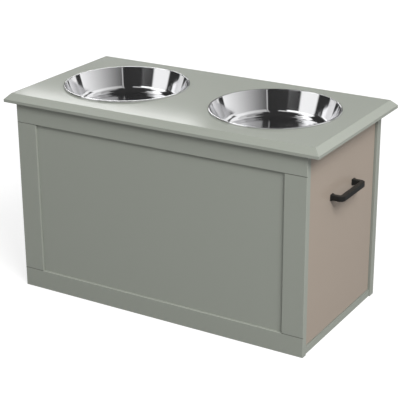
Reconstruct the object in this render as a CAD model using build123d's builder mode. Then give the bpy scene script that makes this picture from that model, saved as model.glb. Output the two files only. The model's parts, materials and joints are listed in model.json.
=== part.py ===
from build123d import *
from math import atan2, cos, degrees, radians, tan
import os

# Raised feeder for dogs: a painted box with two steel bowls let into its top and a storage
# drawer that pulls out of its right-hand end on ball-bearing runners.
# Origin: centre of the outline, on the floor. X runs along the box towards the drawer's
# handle, the panelled front faces -Y, and Z is up. Millimetres.

os.makedirs("parts", exist_ok=True)

# ---------------------------------------------------------------- driving sizes
# top board
top_length = 600
top_depth = 304
top_thickness = 15
top_lip_height = 5  # upright edge left below the bevel
top_bevel_width = 10
top_edge_radius = 0.8

# body under it
body_height = 343
side_overhang = 21.5
front_overhang = 7
back_overhang = 17
edge_radius = 0.6  # eased edge of painted boards

# panelled front
top_rail_height = 34
bottom_rail_height = 35
stile_width = 39
frame_proud = 4  # how far the frame stands out from the panel
front_panel_thickness = 8
rabbet_width = 10  # step behind the frame that takes the panel's edge

# other boards
back_thickness = 15
left_side_thickness = 12
base_thickness = 12
base_end_recess = 2

# drawer
drawer_front_thickness = 15
drawer_front_recess = 3.5  # behind the ends of the front and the back
drawer_front_reveal = 2  # gap on all four edges
drawer_wall_thickness = 12
drawer_wall_height = 220
drawer_rear_clearance = 10
drawer_floor_thickness = 5
drawer_floor_height = 10  # underside of the floor above the walls' lower edge
drawer_groove_depth = 5
drawer_groove_play = 0.3

# ball-bearing runners, one on each side of the drawer
runner_length = 450
runner_width = 13  # from the box's wall to the drawer's wall
runner_height = 36
runner_setback = 2  # behind the drawer's front board
runner_centre_height = 88  # above the base board
runner_sheet = 1.2
runner_bend_radius = 1.5
channel_depth = 10.1
channel_lip = 1.2
ball_diameter = 4.6
ball_play = 0.1  # on each side of a ball
ball_spacing = 30
balls_in_row = 4
cage_sheet = 0.6
cage_gap = 0.5  # between the cage and the box channel's web
cage_edge = 0.8  # metal left beyond a ball's hole
drawer_travel = 330
cage_end_play = 2
stop_reach = 2.6  # lanced tabs that a cage meets just past full travel
stop_gap = 0.3
box_stop_width = 8
drawer_stop_width = 3

# countersunk runner screws
runner_screw_radius = 1.7
runner_screw_head_radius = 3.3
runner_screw_head_height = 1.9
runner_screw_length = 8
runner_screw_inset = 37  # from the ends of the channel

# bar handle
handle_centres = 82
handle_height = 244  # above the floor
handle_projection = 22.5
handle_section = 8.6
handle_section_radius = 1.4
handle_bend_radius = 6.5
handle_foot_size = 11
handle_foot_length = 4.5
handle_screw_radius = 2
handle_screw_grip = 10  # thread inside the handle's foot
handle_screw_head_radius = 4
handle_screw_head_height = 2.4
handle_screw_head_bevel = 0.8

# bowls
bowl_end_margin = 43  # from the top board's end to the bowl's rim
bowl_mouth_radius = 106.5  # inside, level with the top board
bowl_depth = 41
bowl_wall_lean = 18  # degrees
bowl_bend_radius = 34
bowl_sheet = 0.8
bowl_rim_width = 4
bowl_rim_height = 3
bowl_rim_round = 1.3
bowl_cutout_play = 1.2

# wooden dowels and cam fittings that hold the boards together
dowel_radius = 3
dowel_length = 20
dowel_depth_in_face = 7.5
dowel_end_inset = 35
cam_end_inset = 110
cam_radius = 6
cam_height = 9.5
cam_setback = 24  # from the seam to the cam's axis
cam_bolt_depth = 6  # bolt's axis below the face that the cam is set in
cam_bolt_radius = 2.5
cam_bolt_grip = 7.5  # thread inside the other board
cam_neck_radius = 1.8
cam_head_radius = 2.75
cam_head_length = 4
cam_slot_width = 1.4
cam_slot_depth = 1.4
fastener_play = 0.15

# ---------------------------------------------------------------- places
body_length = top_length - 2 * side_overhang
body_end = body_length / 2
body_front = front_overhang - top_depth / 2
body_back = top_depth / 2 - back_overhang
front_thickness = frame_proud + front_panel_thickness
inside_front = body_front + front_thickness
inside_back = body_back - back_thickness
inside_width = inside_back - inside_front
inside_middle = (inside_front + inside_back) / 2
inside_left = left_side_thickness - body_end
top_surface = body_height + top_thickness
lip_top = body_height + top_lip_height
bevel_height = top_thickness - top_lip_height

drawer_face = body_end - drawer_front_recess
drawer_front_back = drawer_face - drawer_front_thickness
drawer_rear = inside_left + drawer_rear_clearance
drawer_width = inside_width - 2 * runner_width
drawer_bottom_edge = base_thickness + drawer_front_reveal
drawer_floor_bottom = drawer_bottom_edge + drawer_floor_height

runner_front = drawer_front_back - runner_setback
runner_middle = base_thickness + runner_centre_height
ball_row_height = runner_height / 2 - runner_sheet - ball_diameter / 2 - ball_play
ball_offset = runner_width / 2
inner_channel_height = 2 * (ball_row_height - ball_diameter / 2 - ball_play)
cage_length = runner_length - drawer_travel - 2 * cage_end_play

lean = radians(bowl_wall_lean)
wall_outside = bowl_mouth_radius + bowl_sheet / cos(lean)  # level with the top board
rim_outer_radius = bowl_mouth_radius + bowl_rim_width
bowl_offset = top_length / 2 - bowl_end_margin - rim_outer_radius
bowl_places = {"left": -bowl_offset, "right": bowl_offset}
centred = (Align.CENTER, Align.CENTER, Align.MIN)


def board(x_range, y_range, z_range):
    """A square-edged board between three pairs of faces, joined to the part in hand."""
    lows, highs = zip(x_range, y_range, z_range)
    with Locations(tuple(lows)):
        Box(*(high - low for low, high in zip(lows, highs)), align=(Align.MIN,) * 3)


def spot(point, inward, face=None):
    """A fastener's place on a seam: Z points into the edged board, X out of the cam's face."""
    return Plane(origin=point, x_dir=face, z_dir=inward).location


def drill(spots, radius, start, stop):
    """Cut a round hole on each spot's axis between two distances from the seam."""
    with Locations(*spots):
        with Locations((0, 0, start)):
            Cylinder(radius, stop - start, align=centred, mode=Mode.SUBTRACT)


def finish(part, name):
    """Label a finished piece and write it to its file."""
    part.part.label = name
    export_step(part.part, f"parts/{name}.step")


# ---------------------------------------------------------------- seams of the box
# Each board's edge meets another board's face. Dowels place the two, and a cam in the edged
# board pulls them together.
along_x = body_end - dowel_end_inset
across_y = inside_width / 2 - dowel_end_inset
cam_x = body_end - cam_end_inset
rail_middle = body_front + front_thickness / 2
back_middle = body_back - back_thickness / 2
left_middle = inside_left - left_side_thickness / 2
base_middle = base_thickness / 2

dowel_spots = []
cam_spots = []
for x in (-along_x, along_x):
    dowel_spots += [
        spot((x, inside_front, base_middle), (0, 1, 0)),
        spot((x, inside_back, base_middle), (0, -1, 0)),
        spot((x, rail_middle, body_height), (0, 0, -1)),
        spot((x, back_middle, body_height), (0, 0, -1)),
    ]
for y in (inside_middle - across_y, inside_middle + across_y):
    dowel_spots += [
        spot((inside_left, y, base_middle), (1, 0, 0)),
        spot((left_middle, y, body_height), (0, 0, -1)),
    ]
for z in (base_thickness + dowel_end_inset, body_height - dowel_end_inset):
    dowel_spots += [
        spot((left_middle, inside_front, z), (0, 1, 0)),
        spot((left_middle, inside_back, z), (0, -1, 0)),
    ]
for x in (-cam_x, cam_x):
    cam_spots += [
        spot((x, inside_front, cam_bolt_depth), (0, 1, 0), (0, 0, -1)),
        spot((x, inside_back, cam_bolt_depth), (0, -1, 0), (0, 0, -1)),
        spot((x, inside_back + cam_bolt_depth, body_height), (0, 0, -1), (0, -1, 0)),
    ]
left_cam_row = inside_left - cam_bolt_depth
cam_spots += [
    spot((left_cam_row, inside_front, body_height / 2), (0, 1, 0), (1, 0, 0)),
    spot((left_cam_row, inside_back, body_height / 2), (0, -1, 0), (1, 0, 0)),
    spot((left_cam_row, inside_middle, body_height), (0, 0, -1), (1, 0, 0)),
]

# seams of the drawer
side_faces = {}
for name, toward in (("front", 1), ("rear", -1)):
    outer = inside_middle - toward * drawer_width / 2
    side_faces[name] = (outer, outer + toward * drawer_wall_thickness, toward)
wall_top = drawer_bottom_edge + drawer_wall_height
wall_low_dowel = drawer_bottom_edge + dowel_end_inset
wall_high_dowel = wall_top - dowel_end_inset
wall_cam_height = (wall_low_dowel + wall_high_dowel) / 2
drawer_back_middle = drawer_rear + drawer_wall_thickness / 2

drawer_dowel_spots = []
drawer_cam_spots = []
for outer, inner, toward in side_faces.values():
    middle = (outer + inner) / 2
    for z in (wall_low_dowel, wall_high_dowel):
        drawer_dowel_spots += [
            spot((drawer_front_back, middle, z), (-1, 0, 0)),
            spot((drawer_back_middle, inner, z), (0, toward, 0)),
        ]
    drawer_cam_spots += [
        spot(
            (drawer_front_back, inner - toward * cam_bolt_depth, wall_cam_height),
            (-1, 0, 0),
            (0, toward, 0),
        ),
        spot(
            (drawer_rear + cam_bolt_depth, inner, wall_cam_height),
            (0, toward, 0),
            (-1, 0, 0),
        ),
    ]


def drill_seams(dowels, cams):
    """Cut the dowel holes, bolt holes and cam pockets that fall inside the board in hand."""
    drill(
        dowels,
        dowel_radius + fastener_play,
        -dowel_depth_in_face - fastener_play,
        dowel_length - dowel_depth_in_face + fastener_play,
    )
    drill(cams, cam_bolt_radius + fastener_play, -cam_bolt_grip - fastener_play, 0)
    drill(cams, cam_head_radius + fastener_play, 0, cam_setback)
    with Locations(*cams):
        with Locations(Location((cam_bolt_depth, 0, cam_setback), (0, -90, 0))):
            Cylinder(
                cam_radius + fastener_play,
                cam_height + fastener_play,
                align=centred,
                mode=Mode.SUBTRACT,
            )


# ---------------------------------------------------------------- top board
with BuildPart() as top_board:
    with BuildSketch(Plane.XY.offset(body_height)):
        Rectangle(top_length, top_depth)
    extrude(amount=top_lip_height)
    with BuildSketch(Plane.XY.offset(lip_top)):
        Rectangle(top_length, top_depth)
    extrude(amount=bevel_height, taper=degrees(atan2(top_bevel_width, bevel_height)))
    underside = top_board.faces().sort_by(Axis.Z)[0]
    fillet(top_board.edges().filter_by(Axis.Z, reverse=True) - underside.edges(), top_edge_radius)
    with Locations(*((x, 0, top_surface) for x in bowl_places.values())):
        Hole(wall_outside + bowl_cutout_play)
    drill_seams(dowel_spots, cam_spots)
finish(top_board, "top_board")

# ---------------------------------------------------------------- panelled front
# Every frame member has a full-width face and, behind it, a back part that is narrower by
# the rabbet. The panel and the stiles' ends lie in the rails' rabbets.
panel_face = body_front + frame_proud
panel_right = body_end - stile_width + rabbet_width
panel_low = bottom_rail_height - rabbet_width
panel_high = body_height - top_rail_height + rabbet_width


def frame_member(x_face, x_back, z_face, z_back):
    """A rail or stile: its eased face in front of its narrower back part."""
    with BuildPart() as member:
        board(x_face, (body_front, panel_face), z_face)
        face_edges = member.faces().sort_by(Axis.Y)[0].edges()
        chamfer(face_edges, edge_radius)
        board(x_back, (panel_face, inside_front), z_back)
        drill_seams(dowel_spots, cam_spots)
    return member


full_length = (-body_end, body_end)
front_top_rail = frame_member(
    full_length,
    full_length,
    (body_height - top_rail_height, body_height),
    (panel_high, body_height),
)
finish(front_top_rail, "front_top_rail")
front_bottom_rail = frame_member(
    full_length, full_length, (0, bottom_rail_height), (0, panel_low)
)
finish(front_bottom_rail, "front_bottom_rail")
stile_face = (bottom_rail_height, body_height - top_rail_height)
front_left_stile = frame_member(
    (-body_end, stile_width - body_end),
    (-body_end, -panel_right),
    stile_face,
    (panel_low, panel_high),
)
finish(front_left_stile, "front_left_stile")
front_right_stile = frame_member(
    (body_end - stile_width, body_end),
    (panel_right, body_end),
    stile_face,
    (panel_low, panel_high),
)
finish(front_right_stile, "front_right_stile")

# ---------------------------------------------------------------- runner screws' places
screw_columns = [
    runner_front - runner_screw_inset,
    runner_front - runner_length / 2,
    runner_front - runner_length + runner_screw_inset,
]
box_walls = {"front": (inside_front, 1), "rear": (inside_back, -1)}
box_screw_spots = {}
drawer_screw_spots = {}
for name, (wall, toward) in box_walls.items():
    box_screw_spots[name] = [
        spot((x, wall + toward * runner_sheet, runner_middle), (0, toward, 0))
        for x in screw_columns
    ]
    drawer_wall = side_faces[name][0]
    drawer_screw_spots[name] = [
        spot((x, drawer_wall - toward * runner_sheet, runner_middle), (0, -toward, 0))
        for x in screw_columns
    ]


def drill_runner_screws(spots):
    """Cut countersunk screw holes downwards from each screw head's level."""
    with Locations(*spots):
        with Locations((0, 0, -runner_screw_length - fastener_play)):
            Cylinder(
                runner_screw_radius + fastener_play,
                runner_screw_length + fastener_play,
                align=centred,
                mode=Mode.SUBTRACT,
            )
        with Locations((0, 0, -runner_screw_head_height)):
            Cone(
                runner_screw_radius + fastener_play,
                runner_screw_head_radius + fastener_play,
                runner_screw_head_height,
                align=centred,
                mode=Mode.SUBTRACT,
            )


with BuildPart() as front_panel:
    board((-panel_right, panel_right), (panel_face, inside_front), (panel_low, panel_high))
    drill_runner_screws(box_screw_spots["front"])
finish(front_panel, "front_panel")

# ---------------------------------------------------------------- plain boards of the box
with BuildPart() as back_panel:
    board((-body_end, body_end), (inside_back, body_back), (0, body_height))
    fillet(back_panel.faces().sort_by(Axis.Y)[-1].edges().filter_by(Axis.Z), edge_radius)
    drill_seams(dowel_spots, cam_spots)
    drill_runner_screws(box_screw_spots["rear"])
finish(back_panel, "back_panel")

with BuildPart() as left_side_panel:
    board((-body_end, inside_left), (inside_front, inside_back), (0, body_height))
    drill_seams(dowel_spots, cam_spots)
finish(left_side_panel, "left_side_panel")

with BuildPart() as base_board:
    board((inside_left, body_end - base_end_recess), (inside_front, inside_back), (0, base_thickness))
    drill_seams(dowel_spots, cam_spots)
finish(base_board, "base_board")

# ---------------------------------------------------------------- drawer
front_low = base_thickness + drawer_front_reveal
front_high = body_height - drawer_front_reveal
handle_feet = [
    (drawer_face, inside_middle + offset, handle_height)
    for offset in (-handle_centres / 2, handle_centres / 2)
]
handle_screw_spots = [
    spot((drawer_front_back, y, z), (1, 0, 0)) for _, y, z in handle_feet
]
handle_screw_hole = handle_screw_radius + fastener_play
floor_front = drawer_front_back + drawer_groove_depth
floor_rear = drawer_rear + drawer_wall_thickness - drawer_groove_depth
floor_half_width = drawer_width / 2 - drawer_wall_thickness + drawer_groove_depth


def cut_floor_groove():
    """Cut the groove that the drawer's floor slides into, a little larger than the floor."""
    with Locations(((floor_front + floor_rear) / 2, inside_middle, drawer_floor_bottom)):
        Box(
            floor_front - floor_rear,
            2 * floor_half_width,
            drawer_floor_thickness + drawer_groove_play,
            align=centred,
            mode=Mode.SUBTRACT,
        )


with BuildPart() as drawer_front:
    board(
        (drawer_front_back, drawer_face),
        (inside_front + drawer_front_reveal, inside_back - drawer_front_reveal),
        (front_low, front_high),
    )
    fillet(drawer_front.faces().sort_by(Axis.X)[-1].edges(), edge_radius)
    cut_floor_groove()
    drill_seams(drawer_dowel_spots, drawer_cam_spots)
    drill(handle_screw_spots, handle_screw_hole, 0, drawer_front_thickness)
finish(drawer_front, "drawer_front")

for name, (outer, inner, toward) in side_faces.items():
    with BuildPart() as drawer_side:
        board(
            (drawer_rear, drawer_front_back),
            (min(outer, inner), max(outer, inner)),
            (drawer_bottom_edge, wall_top),
        )
        fillet(drawer_side.faces().sort_by(Axis.Z)[-1].edges().filter_by(Axis.X), edge_radius)
        cut_floor_groove()
        drill_seams(drawer_dowel_spots, drawer_cam_spots)
        drill_runner_screws(drawer_screw_spots[name])
    finish(drawer_side, f"drawer_{name}_side")

with BuildPart() as drawer_back:
    board(
        (drawer_rear, drawer_rear + drawer_wall_thickness),
        (side_faces["front"][1], side_faces["rear"][1]),
        (drawer_bottom_edge, wall_top),
    )
    fillet(drawer_back.faces().sort_by(Axis.Z)[-1].edges().filter_by(Axis.Y), edge_radius)
    cut_floor_groove()
    drill_seams(drawer_dowel_spots, drawer_cam_spots)
finish(drawer_back, "drawer_back")

with BuildPart() as drawer_floor:
    board(
        (floor_rear, floor_front),
        (inside_middle - floor_half_width, inside_middle + floor_half_width),
        (drawer_floor_bottom, drawer_floor_bottom + drawer_floor_thickness),
    )
finish(drawer_floor, "drawer_floor")

# ---------------------------------------------------------------- handle
# A square bar bent twice, swept round its path, on feet that flare towards the drawer.
handle_plane = Plane(
    origin=(drawer_face, inside_middle, handle_height), x_dir=(0, 1, 0), z_dir=(0, 0, 1)
)
bar_offset = handle_projection - handle_section / 2
with BuildPart() as handle:
    with BuildLine(handle_plane) as bar_path:
        FilletPolyline(
            (-handle_centres / 2, 0),
            (-handle_centres / 2, -bar_offset),
            (handle_centres / 2, -bar_offset),
            (handle_centres / 2, 0),
            radius=handle_bend_radius,
        )
    with BuildSketch(bar_path.line ^ 0):
        RectangleRounded(handle_section, handle_section, handle_section_radius)
    sweep()
    for point in handle_feet:
        foot_plane = Plane(origin=point, z_dir=(1, 0, 0))
        with BuildSketch(foot_plane):
            RectangleRounded(handle_foot_size, handle_foot_size, handle_section_radius)
        with BuildSketch(foot_plane.offset(handle_foot_length)):
            RectangleRounded(handle_section, handle_section, handle_section_radius)
        loft()
    screw_end = drawer_front_thickness + handle_screw_grip
    drill(handle_screw_spots, handle_screw_hole, drawer_front_thickness, screw_end + fastener_play)
finish(handle, "handle")

with BuildPart() as handle_screws:
    with Locations(*handle_screw_spots):
        Cylinder(handle_screw_radius, screw_end, align=centred)
        with Locations((0, 0, -handle_screw_head_height)):
            Cylinder(handle_screw_head_radius, handle_screw_head_height, align=centred)
    heads = handle_screws.faces().sort_by(Axis.X)[: len(handle_screw_spots)]
    chamfer(heads.edges(), handle_screw_head_bevel)
finish(handle_screws, "handle_screws")

# ---------------------------------------------------------------- runners
# Each runner is a pair of rolled steel channels that face each other. A cage keeps two rows
# of balls between their flanges, and travels half as far as the drawer does.


def runner_plane(wall, toward, x):
    """The runner's cross-section at x: its own X leads away from the wall that carries it."""
    return Plane(origin=(x, wall, runner_middle), x_dir=(0, toward, 0), z_dir=(-1, 0, 0))


def stop_place(x, offset, height, x_dir, z_dir):
    """A stop's place on the sheet's surface: X stands out of it, Z runs back over the window."""
    return Plane(origin=(x, offset, height), x_dir=x_dir, z_dir=z_dir).location


def add_stops(places, width):
    """Bend a tab out of the sheet at each place, and leave the window that it was cut from."""
    with Locations(*places):
        Box(stop_reach, width, runner_sheet, align=(Align.MIN, Align.CENTER, Align.MIN))
        with Locations((0, 0, runner_sheet)):
            Box(
                runner_sheet,
                width,
                stop_reach,
                align=(Align.MAX, Align.CENTER, Align.MIN),
                mode=Mode.SUBTRACT,
            )


def channel(wall, toward, height, lip_outline, lip_opening, screws, stops, stop_width):
    """A rolled channel with its web on a wall and lips between the two given heights."""
    with BuildPart() as rolled:
        with BuildSketch(runner_plane(wall, toward, runner_front)) as section:
            Rectangle(channel_depth, height, align=(Align.MIN, Align.CENTER))
            fillet(section.vertices().group_by(Axis.X)[0], runner_bend_radius)
            with Locations((runner_sheet, 0)):
                Rectangle(
                    channel_depth,
                    height - 2 * runner_sheet,
                    align=(Align.MIN, Align.CENTER),
                    mode=Mode.SUBTRACT,
                )
            with Locations((channel_depth - runner_sheet, 0)):
                Rectangle(runner_sheet, lip_outline, align=(Align.MIN, Align.CENTER))
                Rectangle(
                    runner_sheet, lip_opening, align=(Align.MIN, Align.CENTER), mode=Mode.SUBTRACT
                )
        extrude(amount=runner_length)
        drill_runner_screws(screws)
        add_stops(stops, stop_width)
    return rolled


cage_x_range = (
    runner_front - (runner_length + cage_length) / 2,
    runner_front - (runner_length - cage_length) / 2,
)
ball_columns = [
    sum(cage_x_range) / 2 + ball_spacing * (index - (balls_in_row - 1) / 2)
    for index in range(balls_in_row)
]
cage_web = runner_sheet + cage_gap
cage_reach = ball_offset + ball_diameter / 2 + ball_play + cage_edge
box_stop_x = cage_x_range[1] + drawer_travel / 2 + stop_gap + runner_sheet
drawer_stop_x = cage_x_range[0] - drawer_travel / 2 - stop_gap - runner_sheet

for name, (wall, toward) in box_walls.items():
    box_channel = channel(
        wall,
        toward,
        runner_height,
        runner_height - 2 * runner_sheet,
        runner_height - 2 * (runner_sheet + channel_lip),
        box_screw_spots[name],
        [
            stop_place(
                box_stop_x,
                wall + toward * runner_sheet,
                runner_middle,
                (0, toward, 0),
                (-1, 0, 0),
            )
        ],
        box_stop_width,
    )
    finish(box_channel, f"{name}_runner_box_channel")
    drawer_channel = channel(
        side_faces[name][0],
        -toward,
        inner_channel_height,
        inner_channel_height + 2 * channel_lip,
        inner_channel_height - 2 * runner_sheet,
        drawer_screw_spots[name],
        [
            stop_place(
                drawer_stop_x,
                wall + toward * ball_offset,
                runner_middle + side * inner_channel_height / 2,
                (0, 0, side),
                (1, 0, 0),
            )
            for side in (-1, 1)
        ],
        drawer_stop_width,
    )
    finish(drawer_channel, f"{name}_runner_drawer_channel")

    ball_points = [
        (x, wall + toward * ball_offset, runner_middle + row * ball_row_height)
        for x in ball_columns
        for row in (-1, 1)
    ]
    with BuildPart() as balls:
        with Locations(*ball_points):
            Sphere(ball_diameter / 2)
    finish(balls, f"{name}_runner_balls")

    with BuildPart() as cage:
        cage_height = 2 * ball_row_height + cage_sheet
        with BuildSketch(runner_plane(wall, toward, cage_x_range[1])):
            with Locations((cage_web, 0)):
                Rectangle(cage_reach - cage_web, cage_height, align=(Align.MIN, Align.CENTER))
            with Locations((cage_web + cage_sheet, 0)):
                Rectangle(
                    cage_reach,
                    cage_height - 2 * cage_sheet,
                    align=(Align.MIN, Align.CENTER),
                    mode=Mode.SUBTRACT,
                )
        extrude(amount=cage_length)
        with Locations(*ball_points):
            Cylinder(ball_diameter / 2 + ball_play, 2 * cage_sheet + ball_play, mode=Mode.SUBTRACT)
    finish(cage, f"{name}_runner_ball_cage")


def countersunk_screws(spots):
    """Plain countersunk screws whose heads lie level with the spots."""
    with BuildPart() as screws:
        with Locations(*spots):
            with Locations((0, 0, -runner_screw_length)):
                Cylinder(runner_screw_radius, runner_screw_length, align=centred)
            with Locations((0, 0, -runner_screw_head_height)):
                Cone(
                    runner_screw_radius,
                    runner_screw_head_radius,
                    runner_screw_head_height,
                    align=centred,
                )
    return screws


all_box_screws = box_screw_spots["front"] + box_screw_spots["rear"]
finish(countersunk_screws(all_box_screws), "box_channel_screws")
all_drawer_screws = drawer_screw_spots["front"] + drawer_screw_spots["rear"]
finish(countersunk_screws(all_drawer_screws), "drawer_channel_screws")

# ---------------------------------------------------------------- bowls
# One sheet-metal profile, spun: flat floor, wide bend, leaning wall and a rolled rim that
# lies on the top board.
floor_inside = (bowl_mouth_radius - bowl_depth * tan(lean), -bowl_depth)
floor_outside_level = -bowl_depth - bowl_sheet
floor_outside = (wall_outside + floor_outside_level * tan(lean), floor_outside_level)
mouth_top = (bowl_mouth_radius + bowl_rim_height * tan(lean), bowl_rim_height)
rim_top = (rim_outer_radius, bowl_rim_height)

for name, centre in bowl_places.items():
    bowl_plane = Plane(origin=(centre, 0, top_surface), x_dir=(1, 0, 0), z_dir=(0, -1, 0))
    with BuildPart() as bowl:
        with BuildSketch(bowl_plane) as profile:
            with BuildLine():
                Polyline(
                    (0, floor_outside_level),
                    floor_outside,
                    (wall_outside, 0),
                    (rim_outer_radius, 0),
                    rim_top,
                    mouth_top,
                    floor_inside,
                    (0, -bowl_depth),
                    close=True,
                )
            make_face()
            for corner, radius in (
                (floor_inside, bowl_bend_radius),
                (floor_outside, bowl_bend_radius + bowl_sheet),
                (mouth_top, bowl_rim_round),
                (rim_top, bowl_rim_round),
            ):
                fillet(profile.vertices().sort_by_distance(corner)[0], radius)
        revolve(axis=Axis((centre, 0, 0), (0, 0, 1)))
    finish(bowl, f"bowl_{name}")

# ---------------------------------------------------------------- dowels and cam fittings
with BuildPart() as cam_bolt:
    with Locations((0, 0, -cam_bolt_grip)):
        Cylinder(cam_bolt_radius, cam_bolt_grip, align=centred)
    Cylinder(cam_neck_radius, cam_setback, align=centred)
    with Locations((0, 0, cam_setback)):
        Cylinder(cam_head_radius, cam_head_length)

with BuildPart() as cam:
    with Locations(Location((cam_bolt_depth, 0, cam_setback), (0, -90, 0))):
        Cylinder(cam_radius, cam_height, align=centred)
    head_pocket = 2 * (cam_head_radius + fastener_play)
    neck_slot = 2 * (cam_neck_radius + fastener_play)
    with Locations((0, 0, cam_setback)):
        Box(head_pocket, head_pocket, cam_head_length + 2 * fastener_play, mode=Mode.SUBTRACT)
    Box(neck_slot, neck_slot, cam_setback, align=centred, mode=Mode.SUBTRACT)
    with Locations((cam_bolt_depth, 0, cam_setback)):
        Box(2 * cam_slot_depth, cam_slot_width, cam_radius, mode=Mode.SUBTRACT)
        Box(2 * cam_slot_depth, cam_radius, cam_slot_width, mode=Mode.SUBTRACT)

for prefix, dowels, cams in (
    ("box", dowel_spots, cam_spots),
    ("drawer", drawer_dowel_spots, drawer_cam_spots),
):
    with BuildPart() as pegs:
        with Locations(*dowels):
            with Locations((0, 0, -dowel_depth_in_face)):
                Cylinder(dowel_radius, dowel_length, align=centred)
    finish(pegs, f"{prefix}_dowels")
    with BuildPart() as bolts:
        with Locations(*cams):
            add(cam_bolt.part)
    finish(bolts, f"{prefix}_cam_bolts")
    with BuildPart() as locks:
        with Locations(*cams):
            add(cam.part)
    finish(locks, f"{prefix}_cam_locks")
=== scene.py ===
"""Looks of a raised dog feeder with a storage drawer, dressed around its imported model.

The painted boards, the runners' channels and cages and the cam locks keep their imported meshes
and get a finish. The steel bowls, the bar handle, the balls, the screws, the cam bolts and the
dowels are modelled here as finer pieces that stand for their nodes. All lengths are in metres.
"""

import json
import logging
import math
from dataclasses import dataclass
from enum import Enum
from typing import ClassVar, Mapping, Sequence

import bmesh
import bpy
from mathutils import Matrix, Vector


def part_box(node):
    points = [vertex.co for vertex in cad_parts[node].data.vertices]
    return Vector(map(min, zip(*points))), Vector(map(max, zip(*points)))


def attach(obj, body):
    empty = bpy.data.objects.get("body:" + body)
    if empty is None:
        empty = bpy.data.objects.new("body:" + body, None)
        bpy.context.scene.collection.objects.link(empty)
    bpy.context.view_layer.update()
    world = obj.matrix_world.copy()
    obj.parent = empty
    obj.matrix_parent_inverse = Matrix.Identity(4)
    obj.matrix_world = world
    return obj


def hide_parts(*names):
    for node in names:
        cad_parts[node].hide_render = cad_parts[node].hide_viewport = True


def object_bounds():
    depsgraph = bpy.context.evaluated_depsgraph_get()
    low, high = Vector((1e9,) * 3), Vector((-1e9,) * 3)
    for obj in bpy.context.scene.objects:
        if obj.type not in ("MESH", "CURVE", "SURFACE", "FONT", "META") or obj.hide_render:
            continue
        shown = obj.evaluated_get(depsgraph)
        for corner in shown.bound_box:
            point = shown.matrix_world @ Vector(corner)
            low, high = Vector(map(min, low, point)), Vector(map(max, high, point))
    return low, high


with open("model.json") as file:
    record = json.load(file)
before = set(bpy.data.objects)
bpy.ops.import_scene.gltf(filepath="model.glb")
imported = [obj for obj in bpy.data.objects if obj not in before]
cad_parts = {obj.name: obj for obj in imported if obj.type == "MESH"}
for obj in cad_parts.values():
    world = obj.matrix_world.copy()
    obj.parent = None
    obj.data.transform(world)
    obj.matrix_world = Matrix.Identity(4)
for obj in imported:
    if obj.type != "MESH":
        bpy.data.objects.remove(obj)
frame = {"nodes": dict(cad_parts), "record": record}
CAD_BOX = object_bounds()
MERGE_DISTANCE = 1e-6
END_SHARE = 0.02  # how near its end a solid is measured, as a share of its length
SEAM_HALF_WIDTH = 0.0006  # of the painted shade line in the groove where two members of the front frame meet
SEAM_DEPTH = 0.001
SMALLEST_SINE = 1e-3  # keeps a length that is divided by a sine finite
RIDGE_SHARE = 0.08  # half of the flat top of a thread's ridge, as a share of the pitch
FULL_TURN = 360.0  # degrees
AXIS_UP = Vector((0, 0, 1))
LOG = logging.getLogger("feeder")
Socket = bpy.types.NodeSocket
Colour = tuple[float, float, float]
Span = tuple[float, float]


class Graph:
    """Adds nodes to a node tree and wires their inputs by name or position."""

    def __init__(self, tree: bpy.types.NodeTree) -> None:
        """Start on a tree."""
        self.tree = tree

    def add(
        self, kind: str, inputs: Mapping[str | int, object] | None = None, **settings: object
    ) -> bpy.types.Node:
        """Add one node.

        Args:
            kind: Blender's name of the node type.
            inputs: a socket to link from, or a plain value, for each input.
            settings: the node's own properties.

        Returns:
            The new node.
        """
        node = self.tree.nodes.new(kind)
        for name, value in settings.items():
            setattr(node, name, value)
        for key, value in (inputs or {}).items():
            if isinstance(value, Socket):
                self.tree.links.new(value, node.inputs[key])
            else:
                node.inputs[key].default_value = value
        return node

    def result(
        self, kind: str, inputs: Mapping[str | int, object] | None = None, **settings: object
    ) -> Socket:
        """Add one node and give its first output."""
        return self.add(kind, inputs, **settings).outputs[0]

    def math(self, operation: str, *values: Socket | float) -> Socket:
        """Add a Math node on the values and give its result."""
        return self.result("ShaderNodeMath", dict(enumerate(values)), operation=operation)

    def ramp(
        self,
        value: Socket,
        start: float,
        stop: float,
        first: float = 0.0,
        last: float = 1.0,
        shape: str = "LINEAR",
    ) -> Socket:
        """Map one range to another.

        Args:
            value: what is mapped.
            start: where its range starts.
            stop: where its range ends.
            first: the result at the start.
            last: the result at the end.
            shape: Blender's name of the way from first to last.

        Returns:
            The mapped value's socket.
        """
        inputs = {"Value": value, "From Min": start, "From Max": stop}
        inputs |= {"To Min": first, "To Max": last}
        return self.result("ShaderNodeMapRange", inputs, interpolation_type=shape)


@dataclass(frozen=True)
class Pattern:
    """A cloudy pattern: its repeats in a metre, octaves, their strength and its stretch."""

    scale: float
    detail: float = 2.0
    rough: float = 0.5
    stretch: tuple[float, float, float] = (1.0, 1.0, 1.0)


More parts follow.
